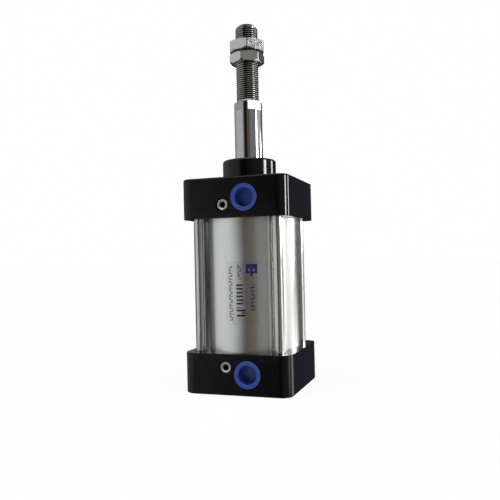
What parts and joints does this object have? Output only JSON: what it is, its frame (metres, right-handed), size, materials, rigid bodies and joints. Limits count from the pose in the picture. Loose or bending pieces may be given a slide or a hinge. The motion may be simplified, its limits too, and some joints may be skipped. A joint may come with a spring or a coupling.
{
  "type": "pneumatic cylinder",
  "caption": "Square-ended double-acting air cylinder with a round barrel between tie rods, a threaded rod with nuts, and plugged side ports.",
  "frame": {"origin": "centre of the rear cover's flat outer face", "axes": "+Z along the piston rod towards its threaded end, -Y out of the air ports, +X to the right seen from the ports"},
  "size_m": [0.075, 0.0763, 0.257],
  "materials": {
    "cover_paint": "gloss",
    "barrel_aluminium": "satin",
    "tie_rod_steel": "polished",
    "sleeve_nut_steel": "satin",
    "chromed_rod": "polished",
    "zinc_nut": "satin",
    "piston_aluminium": "satin",
    "black_rubber": "matte",
    "seal_polyurethane": "satin",
    "bearing_bronze": "satin",
    "guide_plastic": "matte",
    "nickel_screw": "satin",
    "blue_plug": "satin",
    "label_film": "gloss"
  },
  "bodies": {
    "cylinder_body": {"front_cover": "cover_paint", "rear_cover": "cover_paint", "barrel": "barrel_aluminium", "tie_rod_1": "tie_rod_steel", "tie_rod_2": "tie_rod_steel", "tie_rod_3": "tie_rod_steel", "tie_rod_4": "tie_rod_steel", "tie_rod_nut_front_1": "sleeve_nut_steel", "tie_rod_nut_front_2": "sleeve_nut_steel", "tie_rod_nut_front_3": "sleeve_nut_steel", "tie_rod_nut_front_4": "sleeve_nut_steel", "tie_rod_nut_rear_1": "sleeve_nut_steel", "tie_rod_nut_rear_2": "sleeve_nut_steel", "tie_rod_nut_rear_3": "sleeve_nut_steel", "tie_rod_nut_rear_4": "sleeve_nut_steel", "barrel_seal_front": "black_rubber", "barrel_seal_rear": "black_rubber", "rod_bush": "bearing_bronze", "rod_seal": "seal_polyurethane", "rod_wiper": "seal_polyurethane", "cushion_seal_front": "seal_polyurethane", "cushion_seal_rear": "seal_polyurethane", "label": "label_film"},
    "piston_guide": {"wear_ring": "guide_plastic"},
    "piston_and_rod": {"piston_rod": "chromed_rod", "piston": "piston_aluminium", "piston_o_ring": "black_rubber", "piston_seal_front": "seal_polyurethane", "piston_seal_rear": "seal_polyurethane", "cushion_sleeve_front": "piston_aluminium", "cushion_sleeve_rear": "piston_aluminium", "piston_nut": "zinc_nut"},
    "upper_nut": {"rod_nut_upper": "zinc_nut"},
    "lower_nut": {"rod_nut_lower": "zinc_nut"},
    "cushion_ring_front": {"cushion_screw_ring_front": "black_rubber"},
    "cushion_needle_front": {"cushion_screw_front": "nickel_screw"},
    "plug_front": {"port_plug_front": "blue_plug"},
    "cushion_ring_rear": {"cushion_screw_ring_rear": "black_rubber"},
    "cushion_needle_rear": {"cushion_screw_rear": "nickel_screw"},
    "plug_rear": {"port_plug_rear": "blue_plug"}
  },
  "joints": [
    {"name": "rod_stroke", "type": "slide", "parent": "cylinder_body", "child": "piston_guide", "axis": [0, 0, 1], "range_m": [0, 0.05]},
    {"name": "rod_turn", "type": "hinge", "parent": "piston_guide", "child": "piston_and_rod", "pos_m": [0, 0, 0], "axis": [0, 0, 1], "continuous": true},
    {"name": "upper_nut_travel", "type": "slide", "parent": "piston_and_rod", "child": "upper_nut", "axis": [0, 0, 1], "range_m": [0, 0.021]},
    {"name": "lower_nut_travel", "type": "slide", "parent": "piston_and_rod", "child": "lower_nut", "axis": [0, 0, 1], "range_m": [-0.027, 0]},
    {"name": "cushion_travel_front", "type": "slide", "parent": "cylinder_body", "child": "cushion_ring_front", "axis": [0, -1, 0], "range_m": [0, 0.00225]},
    {"name": "cushion_turn_front", "type": "hinge", "parent": "cushion_ring_front", "child": "cushion_needle_front", "pos_m": [-0.0071, -0.0375, 0.1265], "axis": [0, -1, 0], "range_deg": [0, 1080]},
    {"name": "plug_pull_front", "type": "slide", "parent": "cylinder_body", "child": "plug_front", "axis": [0, -1, 0], "range_m": [0, 0.02]},
    {"name": "cushion_travel_rear", "type": "slide", "parent": "cylinder_body", "child": "cushion_ring_rear", "axis": [0, -1, 0], "range_m": [0, 0.00225]},
    {"name": "cushion_turn_rear", "type": "hinge", "parent": "cushion_ring_rear", "child": "cushion_needle_rear", "pos_m": [-0.0071, -0.0375, 0.0185], "axis": [0, -1, 0], "range_deg": [0, 1080]},
    {"name": "plug_pull_rear", "type": "slide", "parent": "cylinder_body", "child": "plug_rear", "axis": [0, -1, 0], "range_m": [0, 0.02]}
  ],
  "couplings": [
    {"joint": "cushion_turn_front", "follows": "cushion_travel_front", "rad_per_m": 8377.6},
    {"joint": "cushion_turn_rear", "follows": "cushion_travel_rear", "rad_per_m": 8377.6}
  ]
}
